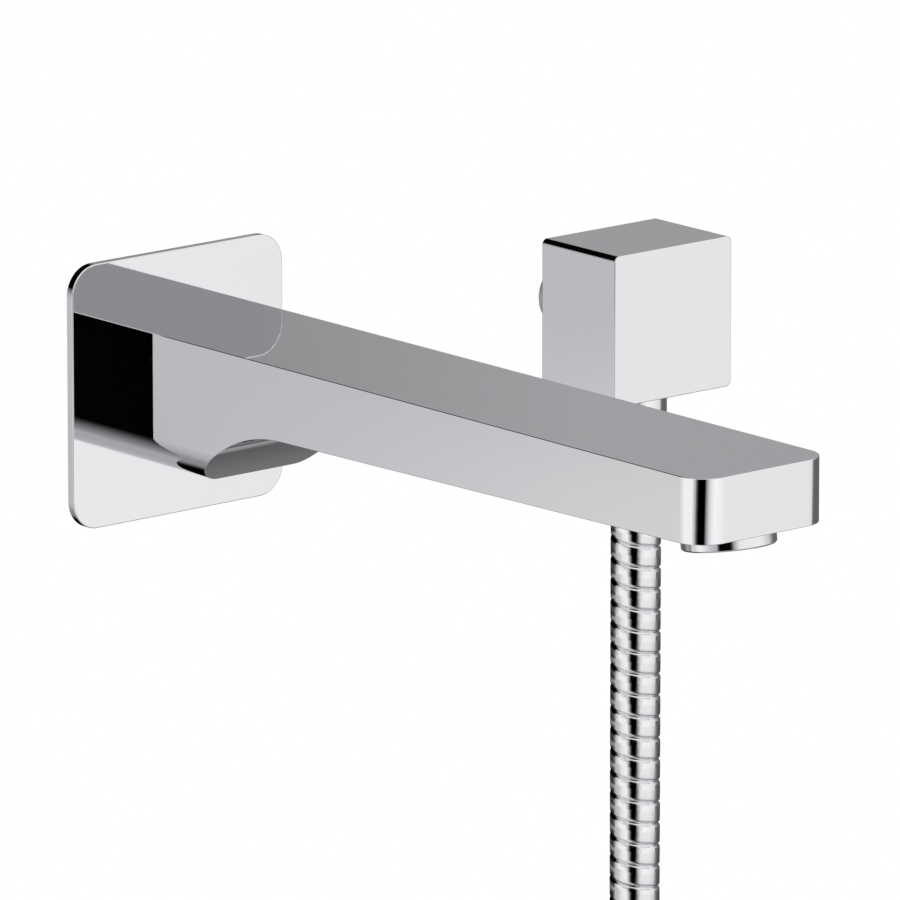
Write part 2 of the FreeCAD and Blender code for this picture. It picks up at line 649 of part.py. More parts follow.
def main():
    """Build and save every piece."""
    os.makedirs("parts", exist_ok=True)
    save("spout_body", spout_body())
    save("wall_plate", wall_plate())
    save("plate_gasket", gasket_ring(seal_slack))
    save("spout_nipple", spout_nipple())
    save("nipple_o_rings", *nipple_o_rings())
    save("spout_grub_screw", spout_grub_screw())
    save("aerator_housing", aerator_housing())
    save("aerator_insert", aerator_insert())
    save("aerator_screen", aerator_screen())
    save("aerator_washer", aerator_washer())
    save("outlet_body", outlet_body())
    save("outlet_shank", outlet_shank())
    save("shank_o_ring", shank_o_ring())
    save("outlet_nipple", outlet_nipple())
    save("check_valve_body", check_valve_body())
    save("check_valve_poppet", check_valve_poppet())
    save("check_valve_spring", check_valve_spring())
    hose_axis = V(outlet_spacing, outlet_y, 0)
    save("hose_top_washer", hose_washer(hose_axis + Z * stub_end, DOWN))
    save("hose_top_insert", hose_insert(hose_axis + Z * (stub_end - washer_thick), DOWN))
    save("hose_top_nut", hose_top_nut())
    save("hose_top_ferrule", hose_ferrule(hose_axis + Z * (top_ferrule_z + ferrule_run), DOWN))
    route = rounded_route(hose_route)
    tube = along_route(route, hose_r)
    save("hose_tube", tube)
    save("hose_coil", hose_coil(route))
    save("hose_tail", cylinder(hose_r, coil_end, DOWN, tail_run))
    save("coil_ties", *coil_ties())
    insert, washer_face = hose_end_insert()
    save("hose_end_ferrule", hose_ferrule(hose_end + DOWN * ferrule_cap, Z))
    save("hose_end_insert", insert)
    save("hose_end_washer", hose_washer(washer_face, DOWN))
    save("hose_cone_nut", hose_cone_nut())
    section = math.pi * hose_r ** 2
    turn = math.hypot(2 * math.pi * coil_mid_r, coil_pitch)
    print(f"tube volume over section times length {tube.Volume / section / route.Length:.4f}")
    print(f"hose length {route.Length + turn * coil_turns + tail_run:.0f} mm, "
          f"coil radius {coil_mid_r / hose_r / 2:.1f} diameters")


main()
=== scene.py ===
"""Dresses the wall-mounted bath set: a flat bar spout on a square plate, a box outlet and its metal hose.

Metres, in the frame of the construction model: the wall is the plane Y = 0, +X runs right along it, +Z is
up, and the spout reaches out along -Y.
"""

import json
import logging
import math
from dataclasses import dataclass
from enum import Enum

import bmesh
import bpy
from mathutils import Euler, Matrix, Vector


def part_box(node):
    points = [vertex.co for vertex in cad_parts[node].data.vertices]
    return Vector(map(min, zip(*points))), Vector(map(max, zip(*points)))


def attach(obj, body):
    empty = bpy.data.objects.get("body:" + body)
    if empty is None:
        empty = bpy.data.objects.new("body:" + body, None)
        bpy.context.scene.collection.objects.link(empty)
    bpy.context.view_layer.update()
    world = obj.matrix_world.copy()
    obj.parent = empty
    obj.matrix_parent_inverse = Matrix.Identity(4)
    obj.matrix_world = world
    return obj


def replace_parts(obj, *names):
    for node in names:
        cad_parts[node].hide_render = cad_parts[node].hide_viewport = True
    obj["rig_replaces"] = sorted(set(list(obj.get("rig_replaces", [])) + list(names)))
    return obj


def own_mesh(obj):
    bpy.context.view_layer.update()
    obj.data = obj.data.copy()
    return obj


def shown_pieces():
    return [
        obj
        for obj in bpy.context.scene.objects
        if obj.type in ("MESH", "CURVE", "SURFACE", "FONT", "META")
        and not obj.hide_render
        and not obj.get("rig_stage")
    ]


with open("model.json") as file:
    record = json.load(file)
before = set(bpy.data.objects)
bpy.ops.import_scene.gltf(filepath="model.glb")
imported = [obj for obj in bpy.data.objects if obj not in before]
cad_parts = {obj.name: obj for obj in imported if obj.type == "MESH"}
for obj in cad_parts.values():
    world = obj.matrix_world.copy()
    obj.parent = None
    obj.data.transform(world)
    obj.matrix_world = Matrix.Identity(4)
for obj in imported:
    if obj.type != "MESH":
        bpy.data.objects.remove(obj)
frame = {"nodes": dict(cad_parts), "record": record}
log = logging.getLogger("bath_set")

Point = tuple[float, float, float]
Colour = tuple[float, float, float]
Pairs = tuple[tuple[float, float], ...]
Socket = bpy.types.NodeSocket

WHITE = (1.0, 1.0, 1.0, 1.0)
NEAR_ZERO = 1e-6
MM_PER_M = 1000
FULL_TURN = 360  # degrees
NECK_THREAD_FROM = 0.001  # Y at which the neck's wall thread starts


class Slot(Enum):
    """The finishes that the record names, and a satin kind of its chrome."""

    CHROME = "chrome"
    HOSE = "hose_metal"
    BRASS = "plain_brass"
    STEEL = "steel"
    RUBBER = "seal_rubber"
    WHITE = "white_plastic"
    TIE = "tie_plastic"
    SATIN = "satin_chrome"

    @property
    def recorded(self) -> str:
        """The record's name for it."""
        return "chrome" if self is Slot.SATIN else self.value


class Body(Enum):
    """The bodies that the new pieces move with."""

    WALL = "wall_units"
    TOP_NUT = "top_nut"
    CONE_NUT = "cone_nut"


# -------------------------------- node building
class Graph:
    """A node tree with short ways to add and join its nodes."""

    def __init__(self, tree: bpy.types.NodeTree) -> None:
        """Keeps the tree.

        Args:
            tree: The shader, world or geometry tree to build in.
        """
        self.tree = tree

    def add(self, kind: str, values: dict | None = None, **settings: object) -> bpy.types.Node:
        """Adds a node.

        Args:
            kind: The node's type.
            values: Input values or source sockets, by input name or index.
            **settings: The node's own settings.

        Returns:
            The new node.
        """
        node = self.tree.nodes.new(kind)
        for name, value in settings.items():
            setattr(node, name, value)
        for key, value in (values or {}).items():
            self.feed(node.inputs[key], value)
        return node

    def feed(self, socket: Socket, value: object) -> None:
        """Sets an input.

        Args:
            socket: The input.
            value: A value, or the socket that it comes from.
        """
        if isinstance(value, Socket):
            self.tree.links.new(value, socket)
        else:
            socket.default_value = value

    def out(self, kind: str, values: dict | None = None, **settings: object) -> Socket:
        """Adds a node, as add does, and gives its first output."""
        return self.add(kind, values, **settings).outputs[0]

    def math(self, operation: str, *values: object) -> Socket:
        """One sum of numbers: the Math node's operation on numbers or sockets."""
        return self.out("ShaderNodeMath", dict(enumerate(values)), operation=operation)

    def vector(self, operation: str, *values: object) -> Socket:
        """One sum of vectors: the Vector Math node's operation on vectors or sockets."""
        return self.out("ShaderNodeVectorMath", dict(enumerate(values)), operation=operation)

    def scaled(self, vector: object, size: Socket) -> Socket:
        """A vector made longer or shorter."""
        return self.out("ShaderNodeVectorMath", {0: vector, "Scale": size}, operation="SCALE")

    def between(self, value: Socket, low: float, high: float, start: float = 0.0, end: float = 1.0,
                smooth: bool = True) -> Socket:
        """A ramp from start to end while the value goes from low to high.

        Args:
            value: What drives the ramp.
            low: Where the ramp starts.
            high: Where it ends.
            start: Result at low.
            end: Result at high.
            smooth: Whether both ends ease in.

        Returns:
            The ramp's socket.
        """
        kind = "SMOOTHSTEP" if smooth else "LINEAR"
        values = {"Value": value, "From Min": low, "From Max": high, "To Min": start, "To Max": end}
        return self.add("ShaderNodeMapRange", values, interpolation_type=kind).outputs["Result"]

    def choose(self, which: Socket, first: object, second: object) -> Socket:
        """Goes from one colour to another.

        Args:
            which: 0 for the first colour, 1 for the second.
            first: The first colour or its socket.
            second: The second colour or its socket.

        Returns:
            The chosen colour.
        """
        values = {"Factor": which, "A": first, "B": second}
        return self.add("ShaderNodeMix", values, data_type="RGBA").outputs["Result"]

    def finished(self, geometry: Socket, finish: Socket, name: str) -> None:
        """Ends a geometry tree: everything is real, and has its finish.

        Args:
            geometry: What the tree has made.
            finish: The material.
            name: The name of the tree's output.
        """
        real = self.out("GeometryNodeRealizeInstances", {"Geometry": geometry})
        dressed = self.out("GeometryNodeSetMaterial", {"Geometry": real, "Material": finish})
        self.add("NodeGroupOutput", {name: dressed})


def geometry_tree(name: str, takes: dict[str, str],
                  gives: str) -> tuple[Graph, bpy.types.bpy_prop_collection]:
    """A geometry node group with named inputs.

    Args:
        name: The group's name.
        takes: Each input's name and the kind of its socket.
        gives: The name of its output.

    Returns:
        The group's graph, and its inputs as they arrive inside it.
    """
    tree = bpy.data.node_groups.new(name, "GeometryNodeTree")
    for label, kind in takes.items():
        tree.interface.new_socket(label, in_out="INPUT", socket_type=f"NodeSocket{kind}")
    tree.interface.new_socket(gives, in_out="OUTPUT", socket_type="NodeSocketGeometry")
    graph = Graph(tree)
    return graph, graph.add("NodeGroupInput").outputs


def empty_material(name: str) -> tuple[bpy.types.Material, Graph]:
    """A material whose node tree is empty.

    Args:
        name: The material's name.

    Returns:
        The material and its graph.
    """
    material = bpy.data.materials.new(name)
    material.use_nodes = True
    material.node_tree.nodes.clear()
    return material, Graph(material.node_tree)


# -------------------------------- finishes
@dataclass(frozen=True)
class Finish:
    """What the finishes share: faint clouds of two close tones, and a fine grain."""

    name: str
    light: Colour
    dark: Colour

    def clouded(self, per_m: float,
                detail: float) -> tuple[bpy.types.Material, Graph, bpy.types.Node, Socket]:
        """Starts the material, with its clouds.

        Args:
            per_m: Scale of the clouds.
            detail: How ragged they are.

        Returns:
            The material, its graph, its shader and its place on the piece.
        """
        material, graph = empty_material(self.name)
        shader = graph.add("ShaderNodeBsdfPrincipled")
        graph.add("ShaderNodeOutputMaterial", {"Surface": shader.outputs[0]})
        place = graph.add("ShaderNodeTexCoord").outputs["Object"]
        cloud = graph.out("ShaderNodeTexNoise", {"Vector": place, "Scale": per_m, "Detail": detail})
        tone = graph.choose(cloud, (*self.dark, 1.0), (*self.light, 1.0))
        graph.feed(shader.inputs["Base Color"], tone)
        return material, graph, shader, place

    @staticmethod
    def grained(graph: Graph, shader: bpy.types.Node, rough: Socket, height: Socket, depth: float) -> None:
        """Gives the shader its grain.

        Args:
            graph: The material's graph.
            shader: Its shader.
            rough: The roughness.
            height: The grain's height, from 0 to 1.
            depth: The grain's depth.
        """
        graph.feed(shader.inputs["Roughness"], rough)
        bump = graph.out("ShaderNodeBump", {"Height": height, "Strength": 1.0, "Distance": depth})
        graph.feed(shader.inputs["Normal"], bump)


@dataclass(frozen=True)
class MetalFinish(Finish):
    """Plated or bare metal, with faint clouding and fine polishing marks."""

    polish: float
    haze: float
    grain_per_m: float
    grain_depth: float
    clouds_per_m: float = 28.0
    cloud_detail: float = 3.0
    grain_detail: float = 2.0
    hazy_from: float = 0.3
    hazy_to: float = 0.7

    def material(self) -> bpy.types.Material:
        """Builds the finish.

        Returns:
            The material.
        """
        material, graph, shader, place = self.clouded(self.clouds_per_m, self.cloud_detail)
        grain = graph.out("ShaderNodeTexNoise", {
            "Vector": place, "Scale": self.grain_per_m, "Detail": self.grain_detail})
        rough = graph.between(grain, self.hazy_from, self.hazy_to, self.polish, self.polish + self.haze,
                              smooth=False)
        self.grained(graph, shader, rough, grain, self.grain_depth)
        graph.feed(shader.inputs["Metallic"], 1.0)
        return material


@dataclass(frozen=True)
class MouldedFinish(Finish):
    """Moulded plastic or rubber with a fine matt skin."""

    roughness: float
    grain_per_m: float
    grain_depth: float
    clouds_per_m: float = 90.0
    cloud_detail: float = 4.0
    smoother: float = 0.05
    rougher: float = 0.08

    def material(self) -> bpy.types.Material:
        """Builds the finish.

        Returns:
            The material.
        """
        material, graph, shader, place = self.clouded(self.clouds_per_m, self.cloud_detail)
        skin = graph.out("ShaderNodeTexVoronoi", {"Vector": place, "Scale": self.grain_per_m})
        rough = graph.between(skin, 0.0, 1.0, self.roughness - self.smoother, self.roughness + self.rougher,
                              smooth=False)
        self.grained(graph, shader, rough, skin, self.grain_depth)
        return material


@dataclass(frozen=True)
class Finishes:
    """The materials of the set, one for each slot."""

    table: dict[Slot, bpy.types.Material]

    @classmethod
    def build(cls) -> "Finishes":
        """Builds every finish once.

        Returns:
            The finishes, by slot.
        """
        made = {
            Slot.CHROME: MetalFinish(
                "chrome_plate", (0.93, 0.935, 0.95), (0.92, 0.925, 0.94),
                polish=0.015, haze=0.02, grain_per_m=900.0, grain_depth=4e-7),
            Slot.HOSE: MetalFinish(
                "hose_strip", (0.93, 0.935, 0.945), (0.90, 0.905, 0.915),
                polish=0.03, haze=0.05, grain_per_m=1500.0, grain_depth=8e-7),
            Slot.BRASS: MetalFinish(
                "machined_brass", (0.90, 0.72, 0.40), (0.84, 0.65, 0.34),
                polish=0.16, haze=0.08, grain_per_m=2600.0, grain_depth=6e-7),
            Slot.STEEL: MetalFinish(
                "bright_steel", (0.66, 0.67, 0.69), (0.58, 0.59, 0.61),
                polish=0.2, haze=0.1, grain_per_m=3200.0, grain_depth=2e-6),
            Slot.RUBBER: MouldedFinish(
                "seal_rubber", (0.055, 0.055, 0.058), (0.035, 0.035, 0.037),
                roughness=0.72, grain_per_m=5200.0, grain_depth=8e-6),
            Slot.WHITE: MouldedFinish(
                "white_acetal", (0.84, 0.84, 0.83), (0.79, 0.79, 0.78),
                roughness=0.42, grain_per_m=4200.0, grain_depth=3e-6),
            Slot.TIE: MouldedFinish(
                "nylon_tie", (0.045, 0.045, 0.048), (0.03, 0.03, 0.032),
                roughness=0.55, grain_per_m=3600.0, grain_depth=9e-6),
            Slot.SATIN: MetalFinish(
                "satin_chrome", (0.74, 0.745, 0.755), (0.69, 0.695, 0.705),
                polish=0.42, haze=0.06, grain_per_m=1800.0, grain_depth=1e-6)}
        return cls({slot: finish.material() for slot, finish in made.items()})

    def __getitem__(self, slot: Slot) -> bpy.types.Material:
        """The material of a slot."""
        return self.table[slot]


# -------------------------------- pieces
def add_object(name: str, data: bpy.types.ID) -> bpy.types.Object:
    """Puts new data in the scene, at the origin.

    Args:
        name: The piece's name.
        data: Its mesh or curve.

    Returns:
        The new object.
    """
    piece = bpy.data.objects.new(name, data)
    bpy.context.scene.collection.objects.link(piece)
    return piece


def settled(piece: bpy.types.Object) -> bpy.types.Mesh:
    """The mesh that an object's modifiers give.

    Args:
        piece: A mesh or curve object.

    Returns:
        A new plain mesh.
    """
    graph = bpy.context.evaluated_depsgraph_get()
    return bpy.data.meshes.new_from_object(piece.evaluated_get(graph), depsgraph=graph)


def curve_of(name: str, *lines: list, kind: str = "POLY", closed: bool = False) -> bpy.types.Object:
    """A curve object.

    Args:
        name: Its name.
        *lines: Each line's points.
        kind: The kind of spline.
        closed: Whether the lines close on themselves.

    Returns:
        The new object.
    """
    data = bpy.data.curves.new(name, "CURVE")
    data.dimensions = "3D"
    for line in lines:
        spline = data.splines.new(kind)
        spline.points.add(len(line) - 1)
        for point, place in zip(spline.points, line):
            point.co = (*place, 1.0)
        spline.use_cyclic_u = closed
    return add_object(name, data)


def grown(name: str, curve: bpy.types.Object, tree: bpy.types.NodeTree, values: dict) -> bpy.types.Object:
    """Turns a curve into a piece by a node group, and takes the curve away.

    Args:
        name: The piece's name.
        curve: The curve.
        tree: The node group.
        values: The group's other inputs, by name.

    Returns:
        The piece, as a plain mesh.
    """
    inputs = {item.name: item.identifier for item in tree.interface.items_tree if item.in_out == "INPUT"}
    modifier = curve.modifiers.new(tree.name, "NODES")
    modifier.node_group = tree
    for label, value in values.items():
        modifier[inputs[label]] = value
    piece = add_object(name, settled(curve))
    bpy.data.objects.remove(curve)
    return piece


@dataclass
class Dresser:
    """Gives construction nodes their finish, or replaces them by smooth copies."""

    finishes: Finishes
    sharp_degrees: float = 35.0
    merge_m: float = 2e-6

    def coat(self, node: str, slot: Slot) -> None:
        """Assigns a finish to a construction node that stays.

        Args:
            node: The node's name.
            slot: Its finish.
        """
        data = frame["nodes"][node].data
        data.materials.clear()
        data.materials.append(self.finishes[slot])
        log.info("%s keeps its solid, in %s", node, slot.value)

    def copy_of(self, node: str) -> bpy.types.Mesh:
        """A joined-up copy of a node's mesh.

        Args:
            node: The node's name.

        Returns:
            The new mesh.
        """
        mesh = frame["nodes"][node].data.copy()
        mesh.name = f"{node}_polished"
        work = bmesh.new()
        work.from_mesh(mesh)
        bmesh.ops.remove_doubles(work, verts=work.verts, dist=self.merge_m)
        bmesh.ops.recalc_face_normals(work, faces=work.faces)
        work.to_mesh(mesh)
        work.free()
        if "custom_normal" in mesh.attributes:
            mesh.attributes.remove(mesh.attributes["custom_normal"])
        return mesh

    def finish_copy(self, node: str, mesh: bpy.types.Mesh, slot: Slot, body: Body) -> bpy.types.Object:
        """Puts a copied mesh in its node's place, with evenly shaded rounds.

        Args:
            node: The node that it replaces.
            mesh: The copy.
            slot: The finish of the copy.
            body: The body that it moves with.

        Returns:
            The new piece.
        """
        mesh.polygons.foreach_set("use_smooth", [True] * len(mesh.polygons))
        mesh.set_sharp_from_angle(angle=math.radians(self.sharp_degrees))
        mesh.materials.clear()
        mesh.materials.append(self.finishes[slot])
        piece = add_object(f"{node}_polished", mesh)
        weigh = piece.modifiers.new("even_shading", "WEIGHTED_NORMAL")
        weigh.keep_sharp = True
        weigh.mode = "FACE_AREA"
        piece.data = settled(piece)
        piece.modifiers.clear()
        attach(piece, body.value)
        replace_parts(piece, node)
        log.info("%s: smooth copy of %s, %d faces", piece.name, node, len(piece.data.polygons))
        return piece

    def polish(self, node: str, slot: Slot, body: Body) -> bpy.types.Object:
        """Replaces a node by a copy whose rounded edges shade evenly.

        Args:
            node: The node's name.
            slot: The finish of the copy.
            body: The body that it moves with.

        Returns:
            The new piece.
        """
        return self.finish_copy(node, self.copy_of(node), slot, body)


@dataclass
class Winder:
    """Sweeps a small section along a helix round a line: wound strip, wire and screw threads."""

    tree: bpy.types.NodeTree

    @classmethod
    def build(cls) -> "Winder":
        """Builds the node group once.

        Returns:
            The winder.
        """
        graph, given = geometry_tree("wound_section", {
            "Line": "Geometry", "Section": "Object", "Radius": "Float", "Pitch": "Float", "Hand": "Float",
            "Start": "Float", "Fade": "Float", "Sink": "Float", "Steps": "Int",
            "Finish": "Material"}, "Winding")
        length = graph.out("GeometryNodeCurveLength", {"Curve": given["Line"]})
        turns = graph.math("DIVIDE", length, given["Pitch"])
        count = graph.math("FLOOR", graph.math("MULTIPLY", turns, given["Steps"]))
        wire = graph.out("GeometryNodeCurvePrimitiveLine")
        wire = graph.out("GeometryNodeResampleCurve", {"Curve": wire, "Count": count})
        turned = graph.math("DIVIDE", graph.out("GeometryNodeInputIndex"), given["Steps"])
        along = graph.math("MULTIPLY", turned, given["Pitch"])
        whole = graph.math("MULTIPLY", graph.math("ADD", turned, given["Start"]), given["Hand"])
        angle = graph.math("MULTIPLY", whole, 2 * math.pi)
        sample = graph.add("GeometryNodeSampleCurve", {"Curves": given["Line"], "Length": along},
                           mode="LENGTH")
        place, tangent, normal = (sample.outputs[name] for name in ("Position", "Tangent", "Normal"))
        side = graph.vector("CROSS_PRODUCT", tangent, normal)
        outward = graph.vector("ADD", graph.scaled(normal, graph.math("COSINE", angle)),
                               graph.scaled(side, graph.math("SINE", angle)))
        to_end = graph.math("MINIMUM", along, graph.math("SUBTRACT", length, along))
        fade = graph.math("MAXIMUM", given["Fade"], NEAR_ZERO)
        sunk = graph.math("SUBTRACT", 1.0, graph.math("DIVIDE", to_end, fade))
        drop = graph.math("MULTIPLY", graph.math("MAXIMUM", sunk, 0.0), given["Sink"])
        reach = graph.scaled(outward, graph.math("SUBTRACT", given["Radius"], drop))
        helix = graph.vector("ADD", place, reach)
        wire = graph.out("GeometryNodeSetPosition", {"Geometry": wire, "Position": helix})
        wire = graph.out("GeometryNodeSetCurveNormal", {"Curve": wire, "Normal": outward}, mode="FREE")
        section = graph.add("GeometryNodeObjectInfo", {"Object": given["Section"]}).outputs["Geometry"]
        wound = graph.out("GeometryNodeCurveToMesh",
                          {"Curve": wire, "Profile Curve": section, "Fill Caps": True})
        wound = graph.out("GeometryNodeSetShadeSmooth", {"Geometry": wound})
        graph.finished(wound, given["Finish"], "Winding")
        return cls(graph.tree)

    def wind(self, name: str, line: bpy.types.Object, corners: list[tuple[float, float]],
             finish: bpy.types.Material, *, radius: float, pitch: float, steps: int, hand: float = 1.0,
             start: float = 0.0, fade: float = 0.0, sink: float = 0.0) -> bpy.types.Object:
        """Winds one piece, and takes its helpers away.

        Args:
            name: The piece's name.
            line: The curve to wind round.
            corners: The section's corners: out from the radius, and along the line.
            finish: The piece's material.
            radius: From the line to the section's zero.
            pitch: Advance in one turn.
            steps: Steps in one turn.
            hand: 1 for a right-hand winding, -1 for a left-hand one.
            start: Where the first turn starts, as a share of a turn.
            fade: Length at both ends over which the section sinks.
            sink: How far it sinks.

        Returns:
            The wound piece, as a plain mesh.
        """
        section = curve_of("section", [(out, along, 0.0) for out, along in corners], closed=True)
        piece = grown(name, line, self.tree, {
            "Section": section, "Radius": radius, "Pitch": pitch, "Hand": hand, "Start": start, "Fade": fade,
            "Sink": sink, "Steps": steps, "Finish": finish})
        bpy.data.objects.remove(section)
        return piece


@dataclass
class ShowerHose:
    """The wound metal hose: it hangs straight, leans over and runs into a tied coil under the outlet."""

    dresser: Dresser
    winder: Winder
    radius: float = 0.0073
    top: Point = (0.145, -0.0326, -0.0456)
    hang_end: Point = (0.145, -0.0326, -0.2121)
    lean_end: Point = (0.201569, -0.0326, -0.268669)
    bend_lead: float = 0.08
    coil_radius: float = 0.0725
    coil_height: float = -0.338669
    coil_turns: int = 3
    coil_pitch: float = 0.0151
    points_per_turn: int = 24
    steps_between: int = 8
    spline_order: int = 3
    tail: float = 0.062
    strip_pitch: float = 0.00636
    strip_width: float = 0.0061
    rolled_edge_mm: Pairs = ((0.0, -0.62), (0.12, -0.36), (0.35, -0.14), (0.7, -0.03), (1.1, 0.0))
    strip_foot_mm: float = -0.8
    strip_lap_mm: tuple[float, float] = (-0.17, 0.3)
    start: float = 0.3
    steps_per_turn: int = 28

    def route(self) -> list[Vector]:
        """The points that the hose follows.

        Returns:
            The points, from the outlet to the far end.
        """
        hang_end = Vector(self.hang_end)
        points = [Vector(self.top), hang_end + Vector((0, 0, self.bend_lead)), hang_end,
                  Vector(self.lean_end)]
        centre = self.lean_end[0] - self.coil_radius
        for step in range(self.coil_turns * self.points_per_turn + 1):
            turned = step / self.points_per_turn
            angle = 2 * math.pi * turned
            points.append(Vector((centre + self.coil_radius * math.cos(angle),
                                  self.top[1] - self.coil_pitch * turned,
                                  self.coil_height - self.coil_radius * math.sin(angle))))
        return points + [points[-1] - Vector((0, 0, self.tail))]

    def line(self) -> bpy.types.Object:
        """The hose's centreline as one smooth spline.

        Returns:
            The curve.
        """
        line = curve_of("hose_line", self.route(), kind="NURBS")
        line.data.resolution_u = self.steps_between
        spline = line.data.splines[0]
        spline.order_u = self.spline_order
        spline.use_endpoint_u = True
        return line

    def strip(self) -> list[tuple[float, float]]:
        """The wound strip's closed cross-section, with rolled edges.

        Returns:
            Its corners: out from its crown, and along the hose.
        """
        far = self.strip_width * MM_PER_M
        before, after = self.strip_lap_mm
        back = ((far - along, out) for along, out in reversed(self.rolled_edge_mm))
        feet = ((along, self.strip_foot_mm) for along in (far + after, before))
        corners = [*self.rolled_edge_mm, *back, *feet]
        return [(out / MM_PER_M, along / MM_PER_M - self.strip_pitch / 2) for along, out in corners]

    def build(self) -> bpy.types.Object:
        """Returns:
            The hose.
        """
        line = self.line()
        finishes = self.dresser.finishes
        centre = [vertex.co.copy() for vertex in settled(line).vertices]
        hose = self.winder.wind("shower_hose", line, self.strip(), finishes[Slot.HOSE], radius=self.radius,
                                pitch=self.strip_pitch, steps=self.steps_per_turn, hand=-1.0,
                                start=self.start)
        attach(hose, Body.WALL.value)
        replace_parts(hose, "hose_tube", "hose_coil", "hose_tail")
        ends = [self.dresser.polish("hose_cone_nut", Slot.CHROME, Body.CONE_NUT),
                GripRibs(finishes).build("hose_cone_nut", Body.CONE_NUT),
                self.dresser.polish("hose_end_ferrule", Slot.CHROME, Body.WALL),
                CoilTies(finishes, self).build(),
                *(frame["nodes"][node] for node in ("hose_end_insert", "hose_end_washer"))]
        return hose


@dataclass
class CoilTies:
    """Two ribbed nylon ties round the coil, at its top and bottom, each with its lock and free tail."""

    finishes: Finishes
    hose: ShowerHose
    width: float = 0.0048
    thick: float = 0.0011
    slack: float = 0.0003
    lock: Point = (0.0074, 0.0054, 0.0042)
    tail: float = 0.011
    rib_gap: float = 0.0011
    rib: float = 0.0005
    rib_share: float = 0.76
    top_turned: float = 0.75
    bottom_turned: float = 0.25
    soft_edge: float = 0.0001
    arc_steps: int = 10

    def loop(self, up: float) -> list[Vector]:
        """A tie's centreline: from its lock round the turns and back over itself.

        Args:
            up: 1 for the tie at the coil's top, -1 for the one at its bottom.

        Returns:
            The centreline's points.
        """
        hose = self.hose
        turned = self.top_turned if up > 0 else self.bottom_turned
        front = hose.top[1] - hose.coil_pitch * (turned + hose.coil_turns - 1)
        back = hose.top[1] - hose.coil_pitch * turned
        reach = hose.radius + self.slack + self.thick / 2
        middle = hose.coil_height + up * hose.coil_radius
        rise = self.lock[2] / 2
        points = [Vector((0, front, reach))]
        for centre, start, climb in ((back, 90, 0.0), (front, -90, rise)):
            for step in range(self.arc_steps + 1):
                share = step / self.arc_steps
                angle = math.radians(start - 180 * share)
                out = reach + climb * share
                points.append(Vector((0, centre + out * math.cos(angle), out * math.sin(angle))))
        points.append(points[-1] + Vector((0, self.tail, rise / 2)))
        centre_x = hose.lean_end[0] - hose.coil_radius
        return [Vector((centre_x, point.y, middle + up * point.z)) for point in points]

    def tree(self) -> bpy.types.NodeTree:
        """Sweeps a strap along each line, with ribs on it and a lock at its start.

        Returns:
            The node group.
        """
        graph, given = geometry_tree("ribbed_tie", {
            "Lines": "Geometry", "Width": "Float", "Thick": "Float", "Rib Gap": "Float", "Rib": "Float",
            "Lock": "Vector", "Finish": "Material"}, "Ties")
        across = (1.0, 0.0, 0.0)
        lines = graph.out("GeometryNodeSetCurveNormal", {"Curve": given["Lines"], "Normal": across},
                          mode="FREE")
        section = graph.out("GeometryNodeCurvePrimitiveQuadrilateral",
                            {"Width": given["Width"], "Height": given["Thick"]})
        strap = graph.out("GeometryNodeCurveToMesh",
                          {"Curve": lines, "Profile Curve": section, "Fill Caps": True})
        spots = graph.add("GeometryNodeCurveToPoints", {"Curve": lines, "Length": given["Rib Gap"]},
                          mode="LENGTH").outputs
        turn = graph.out("FunctionNodeAxesToRotation",
                         {"Primary Axis": spots["Tangent"], "Secondary Axis": across},
                         primary_axis="Z", secondary_axis="X")
        size = graph.out("ShaderNodeCombineXYZ", {
            "X": graph.math("MULTIPLY", given["Width"], self.rib_share),
            "Y": graph.math("ADD", given["Thick"], given["Rib"]), "Z": given["Rib"]})
        bar = graph.out("GeometryNodeMeshCube", {"Size": size})
        ribs = graph.out("GeometryNodeInstanceOnPoints",
                         {"Points": spots["Points"], "Instance": bar, "Rotation": turn})
        block = graph.out("GeometryNodeMeshCube", {"Size": given["Lock"]})
        first = graph.out("GeometryNodeCurveEndpointSelection", {"Start Size": 1, "End Size": 0})
        locks = graph.out("GeometryNodeInstanceOnPoints",
                          {"Points": lines, "Selection": first, "Instance": block})
        joined = graph.add("GeometryNodeJoinGeometry")
        for part in (strap, ribs, locks):
            graph.feed(joined.inputs[0], part)
        graph.finished(joined.outputs[0], given["Finish"], "Ties")
        return graph.tree

    def build(self) -> bpy.types.Object:
        """Builds both ties as one piece.

        Returns:
            The ties.
        """
        lines = curve_of("tie_lines", self.loop(1.0), self.loop(-1.0))
        ties = grown("coil_tie_straps", lines, self.tree(), {
            "Width": self.width, "Thick": self.thick, "Rib Gap": self.rib_gap, "Rib": self.rib,
            "Lock": self.lock, "Finish": self.finishes[Slot.TIE]})
        ties.modifiers.new("soft_edges", "BEVEL").width = self.soft_edge
        ties.data = settled(ties)
        ties.modifiers.clear()
        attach(ties, Body.WALL.value)
        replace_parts(ties, "coil_ties")
        log.info("ties: %d faces", len(ties.data.polygons))
        return ties


